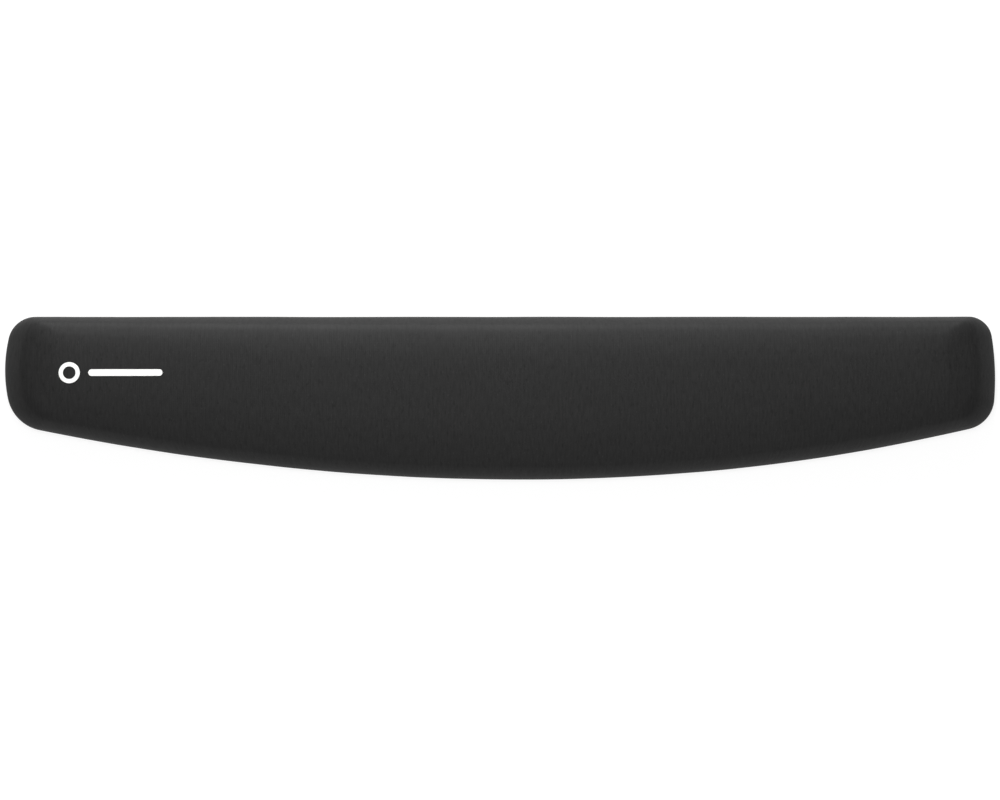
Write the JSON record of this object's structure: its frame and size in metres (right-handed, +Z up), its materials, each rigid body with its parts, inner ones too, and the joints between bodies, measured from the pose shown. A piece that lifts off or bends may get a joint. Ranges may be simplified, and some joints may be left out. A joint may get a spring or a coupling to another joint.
{
  "type": "keyboard wrist rest",
  "caption": "Long low cushioned wrist rest in black stretch jersey, straight towards the keyboard, with a convex front edge, leaning rounded sides and a rubber non-slip underside.",
  "frame": {"origin": "middle of the underside, on the desk, at the centre of the plan box", "axes": "+X along the keyboard to the user's right, +Y from the user to the keyboard, +Z up from the desk"},
  "size_m": [0.47, 0.078, 0.0205],
  "materials": {
    "jersey": "black stretch jersey of fine yarn, matt with a faint sheen at the edges",
    "foam": "moulded slow-recovery polyurethane foam, cream, open-celled",
    "polypropylene": "die-cut polypropylene sheet, natural grey",
    "base_rubber": "black natural-rubber sheet with a moulded grip pattern",
    "white_film": "white heat-transfer film, matt"
  },
  "bodies": {
    "root": {"fabric_cover": "jersey", "foam_core": "foam", "stiffener_sheet": "polypropylene", "non_slip_base": "base_rubber", "printed_ring": "white_film", "printed_bar": "white_film"}
  },
  "joints": []
}
